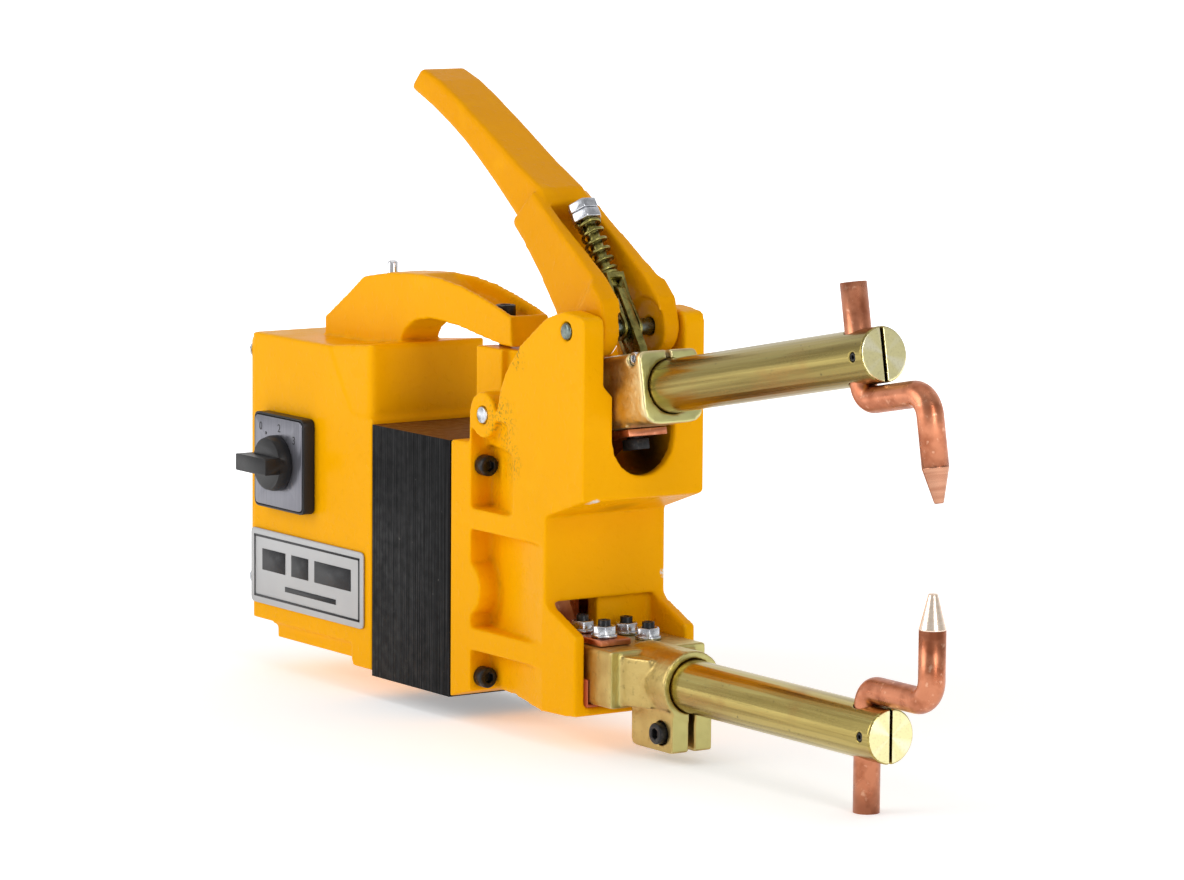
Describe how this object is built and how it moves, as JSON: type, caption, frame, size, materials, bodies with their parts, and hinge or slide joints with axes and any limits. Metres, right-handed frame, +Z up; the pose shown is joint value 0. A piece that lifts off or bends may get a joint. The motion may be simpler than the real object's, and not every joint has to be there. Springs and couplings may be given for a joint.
{
  "type": "spot welder",
  "caption": "Portable squeeze-lever spot welder: cast housings around a laminated core, selector switch, round arms with bent copper electrodes.",
  "frame": {"origin": "centre of the underside of the transformer core", "axes": "+X along the arms to the electrodes, +Y across the body away from the selector switch, +Z up"},
  "size_m": [0.5434, 0.0911, 0.309],
  "materials": {
    "enamel": "glossy orange-yellow enamel on cast aluminium",
    "lamination": "dark stacked sheet steel with a brownish sheen on top",
    "insulation": "red-orange insulating board and tape",
    "copper": "bare copper, machined cones brighter",
    "bronze": "cast bronze with a machined top",
    "arm_brass": "drawn brass bar with lengthwise streaks",
    "cast_brass": "sand-cast brass, lightly machined",
    "black_plastic": "matte black",
    "brushed_plate": "brushed grey",
    "plate": "satin silver with a black inset border",
    "chrome": "polished",
    "zinc": "bright zinc",
    "olive_zinc": "olive yellow-passivated zinc",
    "black_oxide": "black oxide"
  },
  "bodies": {
    "frame": {"core_laminations": "lamination", "primary_coil": "insulation", "secondary_turn": "copper", "tie_bolt_lower_near": "black_oxide", "tie_bolt_lower_far": "black_oxide", "tie_bolt_upper_near": "black_oxide", "tie_bolt_upper_far": "black_oxide", "rear_casting": "enamel", "handle_screw": "black_oxide", "rear_cover": "enamel", "cover_screw_1": "zinc", "cover_screw_2": "zinc", "cover_screw_3": "zinc", "cover_screw_4": "zinc", "cable_gland": "black_plastic", "switch_frame": "black_plastic", "switch_plate": "brushed_plate", "switch_body": "black_plastic", "nameplate": "plate", "microswitch": "black_plastic", "front_casting": "enamel", "lever_pin": "zinc", "rocker_pin": "zinc", "flexible_shunt": "copper", "lower_clamp_block": "cast_brass", "lower_clamp_screw": "black_oxide", "lower_arm": "arm_brass", "lower_electrode": "copper", "lower_electrode_screw": "black_oxide", "stud_1": "black_oxide", "stud_2": "black_oxide", "stud_3": "black_oxide", "stud_4": "black_oxide", "stud_nut_1": "zinc", "stud_nut_2": "zinc", "stud_nut_3": "zinc", "stud_nut_4": "zinc", "bus_bar": "copper", "lower_insulator": "insulation"},
    "lever": {"lever": "enamel"},
    "rocker": {"arm_rocker": "bronze", "rocker_bush": "insulation", "rod_pin": "zinc", "upper_clamp_screw": "zinc", "shunt_bolt": "black_oxide", "upper_arm": "arm_brass", "upper_electrode": "copper", "upper_electrode_screw": "black_oxide"},
    "pull_rod": {"pull_rod": "olive_zinc", "adjusting_nut": "zinc", "lock_nut": "zinc"},
    "yoke": {"spring_yoke": "olive_zinc", "return_spring": "olive_zinc"},
    "knob": {"switch_knob": "black_plastic"},
    "plunger": {"trigger_plunger": "chrome"}
  },
  "joints": [
    {"name": "lever_hinge", "type": "hinge", "parent": "frame", "child": "lever", "pos_m": [0.1332, 0, 0.1859], "axis": [0, -1, 0], "range_deg": [0, 26.5], "stiffness_Nm_per_rad": 4, "springref_deg": -45.84},
    {"name": "arm_hinge", "type": "hinge", "parent": "frame", "child": "rocker", "pos_m": [0.0628, 0, 0.1396], "axis": [0, 1, 0], "range_deg": [0, 7.4], "deforming": ["flexible_shunt"]},
    {"name": "rod_pivot", "type": "hinge", "parent": "rocker", "child": "pull_rod", "pos_m": [0.14405, 0, 0.1703], "axis": [0, 1, 0], "range_deg": [-0.9, 0]},
    {"name": "yoke_hinge", "type": "hinge", "parent": "frame", "child": "yoke", "pos_m": [0.1332, 0, 0.1859], "axis": [0, 1, 0], "range_deg": [0, 6.6], "deforming": ["return_spring"]},
    {"name": "knob_turn", "type": "hinge", "parent": "frame", "child": "knob", "pos_m": [-0.1126, -0.0436, 0.0972], "axis": [0, -1, 0], "range_deg": [-135, 0]},
    {"name": "trigger_press", "type": "slide", "parent": "frame", "child": "plunger", "axis": [0, 0, -1], "range_m": [0, 0.004], "stiffness_N_per_m": 800, "springref_m": -0.002}
  ],
  "couplings": [
    {"joint": "arm_hinge", "follows": "lever_hinge", "ratio": 0.27547},
    {"joint": "rod_pivot", "follows": "lever_hinge", "ratio": -0.0302},
    {"joint": "yoke_hinge", "follows": "lever_hinge", "ratio": 0.2453}
  ]
}
